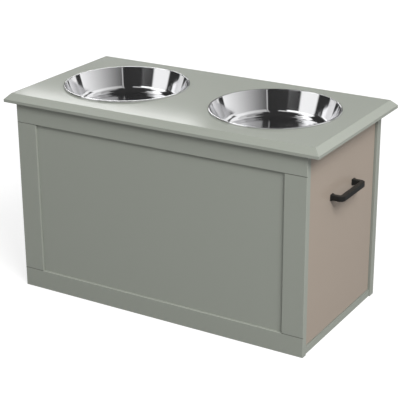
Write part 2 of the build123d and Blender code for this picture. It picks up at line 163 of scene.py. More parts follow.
class Surface(Graph):
    """The node tree of one surface material, around its Principled shader."""

    def __init__(self, name: str, **fixed: object) -> None:
        """Make the material.

        Args:
            name: the material's name.
            fixed: values for the shader's own sockets, with _ for a space in their names.
        """
        self.material = bpy.data.materials.new(name)
        self.material.use_nodes = True
        super().__init__(self.material.node_tree)
        self.shader = self.tree.nodes["Principled BSDF"]
        for key, value in fixed.items():
            self.shader.inputs[key.replace("_", " ")].default_value = value
        self.object_point = self.add("ShaderNodeTexCoord").outputs["Object"]

    def noise(self, pattern: Pattern) -> Socket:
        """Lay a cloudy pattern over the object's own points.

        Args:
            pattern: its scale, detail and stretch.

        Returns:
            The pattern's value, from 0 to 1.
        """
        stretched = {"Vector": self.object_point, "Scale": pattern.stretch}
        inputs = {
            "Vector": self.result("ShaderNodeMapping", stretched),
            "Scale": pattern.scale,
            "Detail": pattern.detail,
            "Roughness": pattern.rough,
        }
        return self.add("ShaderNodeTexNoise", inputs).outputs["Fac"]

    def between(self, factor: Socket, low: Colour | Socket, high: Colour) -> Socket:
        """Blend two colours by a factor.

        Args:
            factor: 0 for the first colour, 1 for the second.
            low: the first colour, fixed or wired.
            high: the second colour.

        Returns:
            The colour's socket.
        """
        first = low if isinstance(low, Socket) else (*low, 1.0)
        inputs = {0: factor, 6: first, 7: (*high, 1.0)}
        return self.add("ShaderNodeMix", inputs, data_type="RGBA").outputs[2]

    def tones(self, factor: Socket, colour: Colour, shares: Span) -> Socket:
        """Let a colour wander between two shares of its brightness."""
        return self.between(factor, shade(colour, shares[0]), shade(colour, shares[1]))

    def wander(self, factor: Socket, middle: float, span: Span) -> Socket:
        """Let a value wander down and up from its middle by the two ends of a span."""
        return self.ramp(factor, 0.0, 1.0, middle + span[0], middle + span[1])

    def wire(self, **sockets: Socket) -> None:
        """Link a source into each named input of the shader, with _ for a space."""
        for key, source in sockets.items():
            self.tree.links.new(source, self.shader.inputs[key.replace("_", " ")])

    def bump(self, height: Socket, strength: float, depth: float) -> None:
        """Raise the surface by a height pattern, of which strength shows, depth metres high."""
        inputs = {"Height": height, "Strength": strength, "Distance": depth}
        self.wire(Normal=self.result("ShaderNodeBump", inputs))


# ------------------------------------------------------------------------------- finishes
def shade(colour: Colour, factor: float) -> Colour:
    """Scale a colour by a factor, up to full white."""
    return tuple(min(1.0, part * factor) for part in colour)


@dataclass(frozen=True)
class Lacquer:
    """Satin lacquer sprayed on smooth board."""

    name: str
    colour: Colour
    roughness: float = 0.5
    clear_coat: float = 0.5
    coat_roughness: float = 0.055
    base_gloss: float = 0.2
    drift: Pattern = Pattern(3.0, 3.0)  # where the colour is a little lighter or darker
    tones: Span = (0.98, 1.02)  # shares of the colour that it wanders between
    sheen: Pattern = Pattern(14.0, 4.0)  # where the film is a little duller
    sheen_span: Span = (-0.04, 0.04)
    peel: Pattern = Pattern(1 / 0.0022, 1.0)  # ripples of the sprayed film, 2.2 mm apart
    peel_strength: float = 0.12
    peel_depth: float = 0.00002
    joints: bool = False  # whether it paints shade down in the seams of the frame
    seam_shade_tone: float = 0.4  # how dark the painted shade is down in a seam

    def material(self) -> bpy.types.Material:
        """Build the lacquer's material."""
        surface = Surface(
            self.name,
            Coat_Weight=self.clear_coat,
            Coat_Roughness=self.coat_roughness,
            Specular_IOR_Level=self.base_gloss,
        )
        colour = surface.tones(surface.noise(self.drift), self.colour, self.tones)
        # painted shade: the seams of the frame are darkened where shade would fall in the groove
        if self.joints:
            colour = surface.between(self.seam(surface), colour, shade(self.colour, self.seam_shade_tone))
        sheen = surface.noise(self.sheen)
        roughness = surface.wander(sheen, self.roughness, self.sheen_span)
        surface.wire(Base_Color=colour, Roughness=roughness)
        surface.bump(surface.noise(self.peel), self.peel_strength, self.peel_depth)
        return surface.material

    def seam(self, surface: Surface) -> Socket:
        """Find the seams where the front's rails meet its stiles, to paint shade into them.

        Args:
            surface: the lacquer's node tree.

        Returns:
            1 down in a seam and 0 elsewhere.
        """
        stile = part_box("front_right_stile")[0]
        high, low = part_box("front_top_rail")[0].z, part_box("front_bottom_rail")[1].z
        along = surface.add("ShaderNodeSeparateXYZ", {0: surface.object_point}).outputs
        level = surface.math("SUBTRACT", along["Z"], (low + high) / 2)
        apart = surface.math("SUBTRACT", surface.math("ABSOLUTE", level), (high - low) / 2)
        near = surface.math("LESS_THAN", surface.math("ABSOLUTE", apart), SEAM_HALF_WIDTH)
        front = surface.math("LESS_THAN", along["Y"], stile.y + SEAM_DEPTH)
        aside = surface.math("GREATER_THAN", surface.math("ABSOLUTE", along["X"]), stile.x)
        return surface.math("MULTIPLY", surface.math("MULTIPLY", near, front), aside)


@dataclass(frozen=True)
class SpunSteel:
    """Polished stainless steel with the fine circular marks of spinning."""

    name: str
    colour: Colour
    roughness: float = 0.08
    rings: Pattern = Pattern(900.0, 3.0, 0.7, (0.02, 0.02, 1.0))  # marks of the spinning
    streaks: Span = (-0.015, 0.015)  # how far the roughness changes from ring to ring
    grain: float = 0.98  # how far the gloss is stretched across the rings
    across: float = 0.25  # turns the stretch from along the rings to across them

    def material(self) -> bpy.types.Material:
        """Build the steel's material."""
        surface = Surface(
            self.name,
            Base_Color=(*self.colour, 1.0),
            Metallic=1.0,
            Anisotropic=self.grain,
            Anisotropic_Rotation=self.across,
        )
        roughness = surface.wander(surface.noise(self.rings), self.roughness, self.streaks)
        around = surface.result("ShaderNodeTangent", direction_type="RADIAL", axis="Z")
        surface.wire(Tangent=around, Roughness=roughness)
        return surface.material


@dataclass(frozen=True)
class Grained:
    """A finish whose gloss and relief follow a fine grain, and its colour a grain or a cloud."""

    name: str
    colour: Colour
    roughness: float
    grain: Pattern
    span: Span  # how far the roughness wanders down and up
    tones: Span  # shares of the colour that it wanders between
    relief: float  # how much of the grain shows as relief
    depth: float  # height of the relief
    cloud: Pattern | None = None  # shapes the colour, in place of the grain
    metallic: float = 0.0
    gloss: float = 0.5

    def material(self) -> bpy.types.Material:
        """Build the finish's material."""
        surface = Surface(self.name, Metallic=self.metallic, Specular_IOR_Level=self.gloss)
        grain = surface.noise(self.grain)
        cloud = surface.noise(self.cloud) if self.cloud else grain
        surface.wire(
            Base_Color=surface.tones(cloud, self.colour, self.tones),
            Roughness=surface.wander(grain, self.roughness, self.span),
        )
        surface.bump(grain, self.relief, self.depth)
        return surface.material


@dataclass(frozen=True)
class ZincPlate(Grained):
    """Bright zinc plating on rolled steel, drawn out along X."""

    roughness: float = 0.3
    grain: Pattern = Pattern(500.0, 4.0, 0.7, (0.05, 1.0, 1.0))
    span: Span = (-0.1, 0.12)
    tones: Span = (0.88, 1.06)
    relief: float = 0.2
    depth: float = 0.00002
    cloud: Pattern | None = Pattern(60.0, 3.0)
    metallic: float = 1.0


@dataclass(frozen=True)
class PowderCoat(Grained):
    """Dark powder coating with its fine pebbled texture."""

    roughness: float = 0.42
    grain: Pattern = Pattern(1 / 0.0006, 2.0, 0.6)  # pebbles 0.6 mm apart
    span: Span = (-0.07, 0.07)
    tones: Span = (0.8, 1.25)
    relief: float = 0.4
    depth: float = 0.00003
    gloss: float = 0.3


@dataclass(frozen=True)
class FacedBoard(Grained):
    """Board with a printed melamine face that has a faint linen texture."""

    roughness: float = 0.5
    grain: Pattern = Pattern(1 / 0.0016, stretch=(1.0, 1.0, 4.0))  # threads 1.6 mm apart
    span: Span = (-0.05, 0.08)
    tones: Span = (0.95, 1.04)
    relief: float = 0.3
    depth: float = 0.00003
    cloud: Pattern | None = Pattern(9.0, 4.0, 0.6, (1.0, 1.0, 6.0))


@dataclass(frozen=True)
class Beech(Grained):
    """Plain beech with a fine even grain."""

    roughness: float = 0.6
    grain: Pattern = Pattern(300.0, 5.0, 0.7)
    span: Span = (-0.1, 0.1)
    tones: Span = (0.75, 1.1)
    relief: float = 0.3
    depth: float = 0.00005


class Slot(Enum):
    """The record's material slots."""

    SAGE = "sage_paint"
    TAUPE = "taupe_paint"
    DRAWER_BOARD = "drawer_board"
    DRAWER_FLOOR = "drawer_floor_board"
    STEEL = "polished_steel"
    BLACK = "black_metal"
    ZINC = "zinc_steel"
    BEARING = "bearing_steel"
    BEECH = "beech"


FINISHES: dict[Slot, Lacquer | SpunSteel | Grained] = {
    Slot.SAGE: Lacquer("sage_lacquer", (0.345, 0.365, 0.322), joints=True),
    Slot.TAUPE: Lacquer("taupe_lacquer", (0.40, 0.335, 0.278)),
    Slot.DRAWER_BOARD: FacedBoard("drawer_board_face", (0.58, 0.55, 0.50)),
    Slot.DRAWER_FLOOR: FacedBoard("drawer_floor_face", (0.66, 0.63, 0.58), roughness=0.55),
    Slot.STEEL: SpunSteel("spun_steel", (0.80, 0.80, 0.81)),
    Slot.BLACK: PowderCoat("black_powder_coat", (0.013, 0.013, 0.0125)),
    Slot.ZINC: ZincPlate("zinc_plate", (0.62, 0.63, 0.65)),
    Slot.BEARING: ZincPlate(
        "bearing_steel", (0.78, 0.78, 0.8), roughness=0.15, grain=Pattern(500.0, 4.0, 0.7)
    ),
    Slot.BEECH: Beech("beech_wood", (0.56, 0.38, 0.22)),
}


class Wardrobe:
    """Makes each finish once and dresses pieces and nodes with it."""

    def __init__(self) -> None:
        """Build every finish."""
        self.materials = {slot: finish.material() for slot, finish in FINISHES.items()}

    def dress_nodes(self) -> None:
        """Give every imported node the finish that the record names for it."""
        for row in frame["record"]["subparts"]:
            mesh = frame["nodes"][row["node"]].data
            mesh.materials.clear()
            mesh.materials.append(self.materials[Slot(row["material_slot"])])

    def dress(self, piece: bpy.types.Object, slot: Slot) -> None:
        """Give a new piece the finish of its slot.

        Args:
            piece: the new piece.
            slot: its slot.
        """
        piece.data.materials.clear()
        piece.data.materials.append(self.materials[slot])


# --------------------------------------------------------------------------- mesh helpers
def mesh_object(
    name: str,
    points: Sequence[Vector],
    edges: Sequence[tuple[int, int]] = (),
    faces: Sequence[Sequence[int]] = (),
) -> bpy.types.Object:
    """Make an object from plain points, edges and faces.

    Args:
        name: the object's name.
        points: the corners.
        edges: pairs of corners.
        faces: loops of corners.

    Returns:
        The object, linked to the scene.
    """
    mesh = bpy.data.meshes.new(name)
    mesh.from_pydata([tuple(point) for point in points], list(edges), list(faces))
    made = bpy.data.objects.new(name, mesh)
    bpy.context.scene.collection.objects.link(made)
    return made


def chain_object(
    name: str, points: Sequence[Vector], marks: Mapping[str, Sequence[float]]
) -> bpy.types.Object:
    """Make a chain of edges whose points carry named numbers.

    Args:
        name: the object's name.
        points: the chain's points in order.
        marks: the numbers at the points, under each name.

    Returns:
        The chain, linked to the scene.
    """
    chain = mesh_object(name, points, [(i, i + 1) for i in range(len(points) - 1)])
    for mark, values in marks.items():
        attribute = chain.data.attributes.new(mark, "FLOAT", "POINT")
        attribute.data.foreach_set("value", list(values))
    return chain


class Maker(Graph):
    """A Geometry Nodes tree that turns a simple object into a finished mesh."""

    def __init__(self, name: str, sizes: Mapping[str, float | int]) -> None:
        """Start the tree with a geometry input and its named sizes.

        Args:
            name: the tree's name.
            sizes: the value of each named input, whole numbers as counts.
        """
        tree = bpy.data.node_groups.new(name, "GeometryNodeTree")
        super().__init__(tree)
        tree.interface.new_socket("Geometry", in_out="INPUT", socket_type="NodeSocketGeometry")
        self.sizes = dict(sizes)
        self.identifiers = {}
        for key, value in sizes.items():
            kind = "NodeSocketInt" if isinstance(value, int) else "NodeSocketFloat"
            socket = tree.interface.new_socket(key, in_out="INPUT", socket_type=kind)
            self.identifiers[key] = socket.identifier
        tree.interface.new_socket("Geometry", in_out="OUTPUT", socket_type="NodeSocketGeometry")
        self.source = self.add("NodeGroupInput")

    def size(self, name: str) -> Socket:
        """Give the socket of a named size, or of the incoming geometry."""
        return self.source.outputs[name]

    def mark(self, name: str, kind: str = "FLOAT") -> Socket:
        """Read what the points of a geometry carry under a name."""
        return self.result("GeometryNodeInputNamedAttribute", {"Name": name}, data_type=kind)

    def sample(self, geometry: Socket, value: Socket, row: Socket, kind: str = "FLOAT") -> Socket:
        """Read a value at one numbered point of a geometry."""
        inputs = {"Geometry": geometry, "Value": value, "Index": row}
        return self.result("GeometryNodeSampleIndex", inputs, data_type=kind, domain="POINT")

    def rounded(self, curve: Socket, steps: Socket, radius: Socket, limited: bool) -> Socket:
        """Round a curve's corners in short steps, limited to what its edges leave room for."""
        inputs = {"Curve": curve, "Count": steps, "Radius": radius, "Limit Radius": limited}
        return self.result("GeometryNodeFilletCurve", inputs, mode="POLY")

    def close(self, geometry: Socket, material: bpy.types.Material) -> None:
        """End the tree in real geometry with its material.

        Args:
            geometry: what the tree has made.
            material: the material of all its faces.
        """
        real = self.result("GeometryNodeRealizeInstances", {0: geometry})
        inputs = {"Geometry": real, "Material": material}
        self.add("NodeGroupOutput", {0: self.result("GeometryNodeSetMaterial", inputs)})

    def bake(self, seed: bpy.types.Object, name: str, sharp_over: float = 35.0) -> bpy.types.Object:
        """Run the tree on an object and keep the result as a plain mesh.

        Args:
            seed: the simple object that the tree starts from.
            name: the finished piece's name.
            sharp_over: edges that bend by more degrees than this stay sharp.

        Returns:
            The finished piece; the seed is removed.
        """
        modifier = seed.modifiers.new(self.tree.name, "NODES")
        modifier.node_group = self.tree
        for key, value in self.sizes.items():
            modifier[self.identifiers[key]] = value
        bpy.context.view_layer.update()
        graph = bpy.context.evaluated_depsgraph_get()
        mesh = bpy.data.meshes.new_from_object(seed.evaluated_get(graph), depsgraph=graph)
        seed.modifiers.clear()
        bpy.data.objects.remove(seed)
        tidy = bmesh.new()
        tidy.from_mesh(mesh)
        bmesh.ops.remove_doubles(tidy, verts=tidy.verts, dist=MERGE_DISTANCE)
        bmesh.ops.recalc_face_normals(tidy, faces=tidy.faces)
        tidy.to_mesh(mesh)
        tidy.free()
        mesh.shade_smooth()
        mesh.set_sharp_from_angle(angle=math.radians(sharp_over))
        piece = bpy.data.objects.new(name, mesh)
        bpy.context.scene.collection.objects.link(piece)
        return piece


def seat(piece: bpy.types.Object, body: str, *nodes: str) -> bpy.types.Object:
    """Let a piece ride on its body in place of its nodes, and report it.

    Args:
        piece: the finished piece.
        body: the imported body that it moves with.
        nodes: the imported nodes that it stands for.

    Returns:
        The piece.
    """
    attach(piece, body)
    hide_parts(*nodes)
    LOG.info("%s: %d faces, rides on %s", piece.name, len(piece.data.polygons), body)
    return piece


# ------------------------------------------------------------------------------- turnings
class Mark(Enum):
    """What a turned section's corners carry beside their place."""

    ROUND = "corner_round"  # radius of the rounded corner
    CROSS = "cross_recess"  # 1 where the driver's cross limits the radius
    FLUTE = "flute_depth"  # depth of the grooves along the axis


@dataclass(frozen=True)
class Corner:
    """One corner of a turned section: its radius from the axis and its height along it."""

    radius: float
    height: float
    round: float = 0.0
    cross: float = 0.0
    flute: float = 0.0


@dataclass(frozen=True)
class Place:
    """Where a turned piece goes: the origin of its section and the way that its axis points."""

    point: Vector
    axis: Vector


def section_object(name: str, corners: Sequence[Corner]) -> bpy.types.Object:
    """Make the half section of a turned piece, with X as the radius.

    Args:
        name: the object's name.
        corners: the section's corners from one end of the axis to the other.

    Returns:
        The section as a chain of edges that carries its marks.
    """
    marks = {
        Mark.ROUND.value: [corner.round for corner in corners],
        Mark.CROSS.value: [corner.cross for corner in corners],
        Mark.FLUTE.value: [corner.flute for corner in corners],
    }
    return chain_object(name, [Vector((c.radius, 0, c.height)) for c in corners], marks)


@dataclass
class Lathe:
    """Turns one section round its axis and repeats it at each place."""

    name: str
    segments: int = 32
    corner_steps: int = 6
    flutes: int = 0
    cross_arm: float = 0.0
    cross_half_width: float = 0.0

    def recess(self, maker: Maker, turn: Socket, radius: Socket, cross: Socket) -> Socket:
        """Keep the radius inside a driver's cross where the section asks for it.

        Args:
            maker: the tree.
            turn: the angle round the axis.
            radius: the section's radius.
            cross: 1 where the cross applies.

        Returns:
            The limited radius.
        """
        quarter = math.tau / 4
        shifted = maker.math("ADD", turn, quarter / 2)
        local = maker.math("SUBTRACT", maker.math("FLOORED_MODULO", shifted, quarter), quarter / 2)
        sine = maker.math("ABSOLUTE", maker.math("SINE", local))
        slope = maker.math("MAXIMUM", sine, SMALLEST_SINE)
        reach = maker.math("DIVIDE", maker.size("Cross half width"), slope)
        arm = maker.math("MINIMUM", maker.size("Cross arm"), reach)
        limited = maker.math("MINIMUM", arm, radius)
        change = maker.math("MULTIPLY", maker.math("SUBTRACT", limited, radius), cross)
        return maker.math("ADD", radius, change)

    def wrap(self, maker: Maker, outline: Socket) -> Socket:
        """Wrap a grid round the axis, with a row for each point of the outline.

        Args:
            maker: the tree.
            outline: the section with its corners rounded.

        Returns:
            The turned shell, closed at its seam and poles.
        """
        counted = maker.add("GeometryNodeAttributeDomainSize", {0: outline}, component="CURVE")
        steps = counted.outputs["Point Count"]
        columns = maker.math("ADD", maker.size("Segments"), 1.0)
        grid = maker.result("GeometryNodeMeshGrid", {"Vertices X": columns, "Vertices Y": steps})
        index = maker.result("GeometryNodeInputIndex")
        row = maker.math("MODULO", index, steps)
        column = maker.math("FLOOR", maker.math("DIVIDE", index, steps))
        turn = maker.math("DIVIDE", maker.math("MULTIPLY", column, math.tau), maker.size("Segments"))
        place = maker.result("GeometryNodeInputPosition")
        corner = maker.sample(outline, place, row, "FLOAT_VECTOR")
        along = maker.add("ShaderNodeSeparateXYZ", {0: corner}).outputs
        cross = maker.sample(outline, maker.mark(Mark.CROSS.value), row)
        radius = self.recess(maker, turn, along["X"], cross)
        wave = maker.math("COSINE", maker.math("MULTIPLY", turn, maker.size("Flutes")))
        flute = maker.sample(outline, maker.mark(Mark.FLUTE.value), row)
        radius = maker.math("ADD", radius, maker.math("MULTIPLY", flute, wave))
        inputs = {
            "X": maker.math("MULTIPLY", radius, maker.math("COSINE", turn)),
            "Y": maker.math("MULTIPLY", radius, maker.math("SINE", turn)),
            "Z": along["Z"],
        }
        inputs = {"Geometry": grid, "Position": maker.result("ShaderNodeCombineXYZ", inputs)}
        placed = maker.result("GeometryNodeSetPosition", inputs)
        inputs = {"Geometry": placed, "Distance": MERGE_DISTANCE}
        return maker.result("GeometryNodeMergeByDistance", inputs)

    def tree(self, section: bpy.types.Object, material: bpy.types.Material) -> Maker:
        """Write the tree.

        Args:
            section: the half section.
            material: the pieces' material.

        Returns:
            The tree.
        """
        sizes = {
            "Segments": self.segments,
            "Corner steps": self.corner_steps,
            "Flutes": float(self.flutes),
            "Cross arm": self.cross_arm,
            "Cross half width": self.cross_half_width,
        }
        maker = Maker(f"{self.name}_lathe", sizes)
        chain = maker.add("GeometryNodeObjectInfo", {"Object": section}).outputs["Geometry"]
        curve = maker.result("GeometryNodeMeshToCurve", {0: chain})
        rounds = maker.mark(Mark.ROUND.value)
        outline = maker.rounded(curve, maker.size("Corner steps"), rounds, limited=True)
        axis = maker.mark("axis", "FLOAT_VECTOR")
        inputs = {
            "Points": maker.size("Geometry"),
            "Instance": self.wrap(maker, outline),
            "Rotation": maker.result(
                "FunctionNodeAlignRotationToVector", {"Vector": axis}, axis="Z"
            ),
        }
        maker.close(maker.result("GeometryNodeInstanceOnPoints", inputs), material)
        return maker

    def turn(
        self,
        corners: Sequence[Corner],
        places: Sequence[Place],
        wardrobe: Wardrobe,
        slot: Slot,
    ) -> bpy.types.Object:
        """Turn the section at every place and dress the result.

        Args:
            corners: the section.
            places: where the pieces go.
            wardrobe: the finishes.
            slot: the pieces' slot.

        Returns:
            One mesh with a closed shell for each place.
        """
        section = section_object(f"{self.name}_section", corners)
        seed = mesh_object(f"{self.name}_places", [place.point for place in places])
        attribute = seed.data.attributes.new("axis", "FLOAT_VECTOR", "POINT")
        attribute.data.foreach_set("vector", [part for place in places for part in place.axis])
        piece = self.tree(section, wardrobe.materials[slot]).bake(seed, self.name)
        bpy.data.objects.remove(section)
        wardrobe.dress(piece, slot)
        return piece


@dataclass(frozen=True)
class Solid:
    """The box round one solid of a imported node, and which end of it is the wider one."""

    low: Vector
    high: Vector
    axis: Vector  # from the narrower end to the wider end

    def end(self, share: float) -> Vector:
        """Give the point on the solid's axis at a share of its length."""
        middle = (self.low + self.high) / 2
        half = (self.high - self.low) / 2
        return middle + self.axis * abs(half.dot(self.axis)) * (2 * share - 1)


def solids_of(node: str) -> list[Solid]:
    """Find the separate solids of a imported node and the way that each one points.

    Args:
        node: the node's name.

    Returns:
        One entry for each solid.
    """
    loose = bmesh.new()
    loose.from_mesh(frame["nodes"][node].data)
    bmesh.ops.remove_doubles(loose, verts=loose.verts, dist=MERGE_DISTANCE)
    left = set(loose.verts)
    solids = []
    while left:
        group, edge = set(), {left.pop()}
        while edge:
            vertex = edge.pop()
            group.add(vertex)
            near = {link.other_vert(vertex) for link in vertex.link_edges} & left
            left -= near
            edge |= near
        points = [vertex.co for vertex in group]
        low = Vector(min(point[i] for point in points) for i in range(3))
        high = Vector(max(point[i] for point in points) for i in range(3))
        size, middle = high - low, (low + high) / 2
        long = max(range(3), key=lambda i: size[i])
        spread = []
        for level in (low[long], high[long]):
            ring = [p for p in points if abs(p[long] - level) < size[long] * END_SHARE]
            spread.append(max(math.dist(p, middle) for p in ring))
        sign = 1.0 if spread[1] >= spread[0] else -1.0
        axis = Vector(sign if i == long else 0.0 for i in range(3))
        solids.append(Solid(low, high, axis))
    loose.free()
    return sorted(solids, key=lambda solid: tuple(solid.low))


# ----------------------------------------------------------------------------- the pieces
@dataclass
class SpunBowl:
    """One steel bowl: flat floor, wide bend, leaning wall and a rolled rim."""

    node: str
    body: str
    rim_width: float = 0.004
    rim_height: float = 0.003
    rim_round: float = 0.0013
    sheet: float = 0.0008
    lean: float = math.radians(18)
    bend: float = 0.017
    segments: int = 192
    corner_steps: int = 12

    def profile(self) -> list[Corner]:
        """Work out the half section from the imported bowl's box."""
        low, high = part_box(self.node)
        rim = (high.x - low.x) / 2
        mouth = rim - self.rim_width
        board = high.z - self.rim_height
        slope = math.tan(self.lean)
        outside = mouth + self.sheet / math.cos(self.lean)
        floor_inside = low.z + self.sheet
        foot = outside - (board - low.z) * slope
        heel = mouth - (board - floor_inside) * slope
        return [
            Corner(0, low.z),
            Corner(foot, low.z, self.bend + self.sheet),
            Corner(outside, board),
            Corner(rim, board),
            Corner(rim, high.z, self.rim_round),
            Corner(mouth + self.rim_height * slope, high.z, self.rim_round),
            Corner(heel, floor_inside, self.bend),
            Corner(0, floor_inside),
        ]

    def build(self, wardrobe: Wardrobe) -> bpy.types.Object:
        """Make the bowl, dress it and seat it in its cut-out.

        Args:
            wardrobe: the finishes.

        Returns:
            The bowl.
        """
        low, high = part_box(self.node)
        centre = Vector(((low.x + high.x) / 2, (low.y + high.y) / 2, 0))
        lathe = Lathe(f"{self.node}_spun", self.segments, self.corner_steps)
        piece = lathe.turn(self.profile(), [Place(centre, AXIS_UP)], wardrobe, Slot.STEEL)
        return seat(piece, self.body, self.node)


@dataclass
class BarHandle:
    """The square bar handle on the drawer, with two bends and two flared feet."""

    node: str = "handle"
    section: float = 0.0086
    section_round: float = 0.0008
    bend: float = 0.0052
    foot: float = 0.011
    foot_length: float = 0.0045
    bend_steps: int = 14
    corner_steps: int = 5

    def tree(self, material: bpy.types.Material) -> Maker:
        """Write the tree that sweeps the bar's section along its path.

        Args:
            material: the handle's material.

        Returns:
            The tree.
        """
        sizes = {
            "Section": self.section,
            "Section round": self.section_round,
            "Bend steps": self.bend_steps,
            "Corner steps": self.corner_steps,
        }
        maker = Maker("bar_handle_sweep", sizes)
        path = maker.result("GeometryNodeMeshToCurve", {0: maker.size("Geometry")})
        bent = maker.rounded(path, maker.size("Bend steps"), maker.mark("bend"), limited=False)
        inputs = {"Width": maker.size("Section"), "Height": maker.size("Section")}
        square = maker.result("GeometryNodeCurvePrimitiveQuadrilateral", inputs)
        eased, steps = maker.size("Section round"), maker.size("Corner steps")
        inputs = {
            "Curve": bent,
            "Profile Curve": maker.rounded(square, steps, eased, limited=False),
            "Scale": maker.mark("flare"),
            "Fill Caps": True,
        }
        maker.close(maker.result("GeometryNodeCurveToMesh", inputs), material)
        return maker

    def build(self, wardrobe: Wardrobe) -> bpy.types.Object:
        """Make the handle and seat it on the drawer.

        Args:
            wardrobe: the finishes.

        Returns:
            The handle.
        """
        low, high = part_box(self.node)
        level = (low.z + high.z) / 2
        near, far = low.y + self.foot / 2, high.y - self.foot / 2
        flare_end = low.x + self.foot_length
        bar = high.x - self.section / 2
        wide = self.foot / self.section
        path = [  # point, radius of the bend and width over the bar's
            (Vector((low.x, near, level)), 0.0, wide),
            (Vector((flare_end, near, level)), 0.0, 1.0),
            (Vector((bar, near, level)), self.bend, 1.0),
            (Vector((bar, far, level)), self.bend, 1.0),
            (Vector((flare_end, far, level)), 0.0, 1.0),
            (Vector((low.x, far, level)), 0.0, wide),
        ]
        points, bends, flares = zip(*path)
        seed = chain_object("bar_handle_path", points, {"bend": bends, "flare": flares})
        piece = self.tree(wardrobe.materials[Slot.BLACK]).bake(seed, "bar_handle")
        wardrobe.dress(piece, Slot.BLACK)
        return seat(piece, "drawer", self.node)


def thread(crest: float, root: float, start: float, stop: float, pitch: float) -> list[Corner]:
    """Write the ridges of a screw's thread as closed rings.

    Args:
        crest: radius of the ridges.
        root: radius between them.
        start: height where the thread starts.
        stop: height where it ends.
        pitch: distance between two ridges.

    Returns:
        The section's corners from start to stop.
    """
    turns = max(1, int((stop - start) / pitch))
    step = (stop - start) / turns
    flat = step * RIDGE_SHARE
    corners = [Corner(root, start)]
    for turn in range(turns):
        ridge = start + (turn + 0.5) * step
        corners += [Corner(crest, ridge - flat), Corner(crest, ridge + flat)]
        corners.append(Corner(root, start + (turn + 1) * step))
    return corners


@dataclass
class TurnedSet:
    """Turned pieces of one kind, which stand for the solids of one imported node."""

    node: str
    body: str
    slot: ClassVar[Slot] = Slot.ZINC
    look: ClassVar[str] = "threaded"  # the end of the piece's name

    def title(self) -> str:
        """Name the piece after its node and its look."""
        return f"{self.node}_{self.look}"

    def lathe(self) -> Lathe:
        """Set up the lathe that turns the pieces."""
        return Lathe(self.title())

    def section(self, size: Vector) -> list[Corner]:
        """Write the section of one piece from the size of the box round its solid."""
        raise NotImplementedError

    def place(self, solid: Solid) -> Place:
        """Start a piece at the narrower end of its solid."""
        return Place(solid.end(0), solid.axis)

    def build(self, wardrobe: Wardrobe) -> bpy.types.Object:
        """Make the pieces and seat them.

        Args:
            wardrobe: the finishes.

        Returns:
            All the pieces of the set, as one mesh.
        """
        solids = solids_of(self.node)
        section = self.section(solids[0].high - solids[0].low)
        places = [self.place(solid) for solid in solids]
        piece = self.lathe().turn(section, places, wardrobe, self.slot)
        return seat(piece, self.body, self.node)


class Head(Enum):
    """The shape of a screw's head."""

    COUNTERSUNK = "countersunk"
    DOMED = "domed"


@dataclass
class ScrewSet(TurnedSet):
    """Screws: a pointed tip, a thread and a head with a driver's cross."""

    radius: float
    head_radius: float
    head_height: float
    pitch: float
    head: Head
    root_share: float = 0.76  # radius between the ridges, over the screw's
    tip_share: float = 0.5  # radius of the tip's end, over the root's
    tip_length: float = 1.2  # over the screw's radius
    dome_share: float = 0.45  # rounding of a domed head, over its height
    cross_reach: float = 0.62  # arm of the cross, over the head's radius
    cross_width: float = 0.17  # half of the arm's width, over the head's radius
    cross_taper: float = 0.8  # arm at the bottom of the cross, over its arm at the top
    cross_depth: float = 0.0011
    edge_round: float = 0.0002

    def lathe(self) -> Lathe:
        """Set up the lathe with the size of the driver's cross."""
        arm, width = self.head_radius * self.cross_reach, self.head_radius * self.cross_width
        return Lathe(self.title(), cross_arm=arm, cross_half_width=width)

    def section(self, size: Vector) -> list[Corner]:
        """Write the screw's section, from its tip up to its head.

        Args:
            size: the box round the screw, as long as the screw is.

        Returns:
            The section's corners.
        """
        length = max(size)
        root = self.radius * self.root_share
        head_low = length - self.head_height
        arm = self.head_radius * self.cross_reach
        corners = [Corner(0, 0), Corner(root * self.tip_share, 0)]
        corners += thread(self.radius, root, self.radius * self.tip_length, head_low, self.pitch)
        if self.head is Head.COUNTERSUNK:
            corners.append(Corner(self.head_radius, length, self.edge_round))
        else:
            corners.append(Corner(self.head_radius, head_low))
            corners.append(Corner(self.head_radius, length, self.head_height * self.dome_share))
        corners.append(Corner(arm, length, cross=1))
        corners.append(Corner(arm * self.cross_taper, length - self.cross_depth, cross=1))
        corners.append(Corner(0, length - self.cross_depth))
        return corners


@dataclass
class CamBoltSet(TurnedSet):
    """Cam bolts: a coarse thread for the board, a thin neck and a round head."""

    grip: float = 0.0075
    grip_radius: float = 0.0025
    neck_radius: float = 0.0018
    head_radius: float = 0.00275
    head_length: float = 0.004
    pitch: float = 0.0015
    collar: float = 0.0008
    root_share: float = 0.75  # radius between the ridges, over the grip's
    tip_share: float = 0.6  # radius of the tip's end, over the root's
    low_round: float = 0.2  # rounding of the head's lower edge, over its radius
    high_round: float = 0.3  # rounding of its upper edge
    corner_steps: int = 3

    def lathe(self) -> Lathe:
        """Set up the lathe with few steps on the rounded corners."""
        return Lathe(self.title(), corner_steps=self.corner_steps)

    def section(self, size: Vector) -> list[Corner]:
        """Write the bolt's section from its tip to its head.

        Args:
            size: the box round the bolt, as long as the bolt is.

        Returns:
            The section's corners.
        """
        length = max(size)
        root = self.grip_radius * self.root_share
        head_low = length - self.head_length
        thread_end = self.grip - self.collar - self.collar
        return [
            Corner(0, 0),
            Corner(root * self.tip_share, 0),
            *thread(self.grip_radius, root, self.pitch, thread_end, self.pitch),
            Corner(self.grip_radius, thread_end),
            Corner(self.grip_radius, self.grip),
            Corner(self.neck_radius, self.grip),
            Corner(self.neck_radius, head_low),
            Corner(self.head_radius, head_low, self.head_radius * self.low_round),
            Corner(self.head_radius, length, self.head_radius * self.high_round),
            Corner(0, length),
        ]


